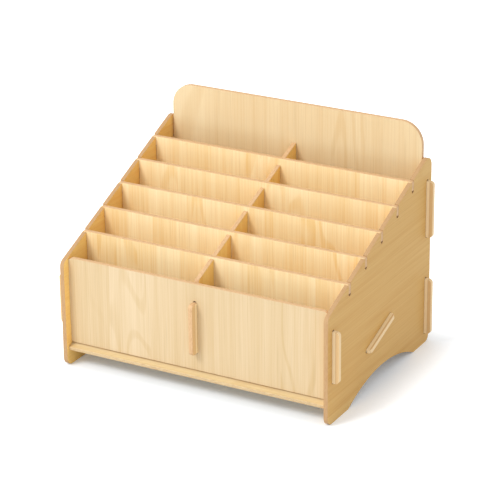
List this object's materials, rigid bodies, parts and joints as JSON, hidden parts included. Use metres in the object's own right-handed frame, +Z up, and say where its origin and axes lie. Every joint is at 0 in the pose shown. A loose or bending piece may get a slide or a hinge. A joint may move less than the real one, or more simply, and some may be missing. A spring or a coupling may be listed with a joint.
{
  "type": "desktop phone storage rack",
  "caption": "Plywood desk rack with two columns of sloping compartments for phones, made of interlocking flat panels on two arched side panels.",
  "frame": {"origin": "on the table, in the middle of the object's width and depth, measured over the tabs", "axes": "+X to the right seen from the front, +Y from the low front panel to the high back panel, +Z up"},
  "size_m": [0.214, 0.1562, 0.1625],
  "materials": {
    "face_veneer": "pale fine-grained veneer of the front and back panels, sanded, without varnish",
    "side_veneer": "warmer, tan veneer of the side panels, sanded, without varnish",
    "inner_veneer": "pale fine-grained veneer of the dividers and the floor, sanded, without varnish"
  },
  "bodies": {
    "root": {"left_side_panel": "side_veneer", "right_side_panel": "side_veneer", "front_panel": "face_veneer", "back_panel": "face_veneer", "slanted_floor": "inner_veneer", "centre_divider": "inner_veneer", "cross_divider_1": "inner_veneer", "cross_divider_2": "inner_veneer", "cross_divider_3": "inner_veneer", "cross_divider_4": "inner_veneer", "cross_divider_5": "inner_veneer"}
  },
  "joints": []
}
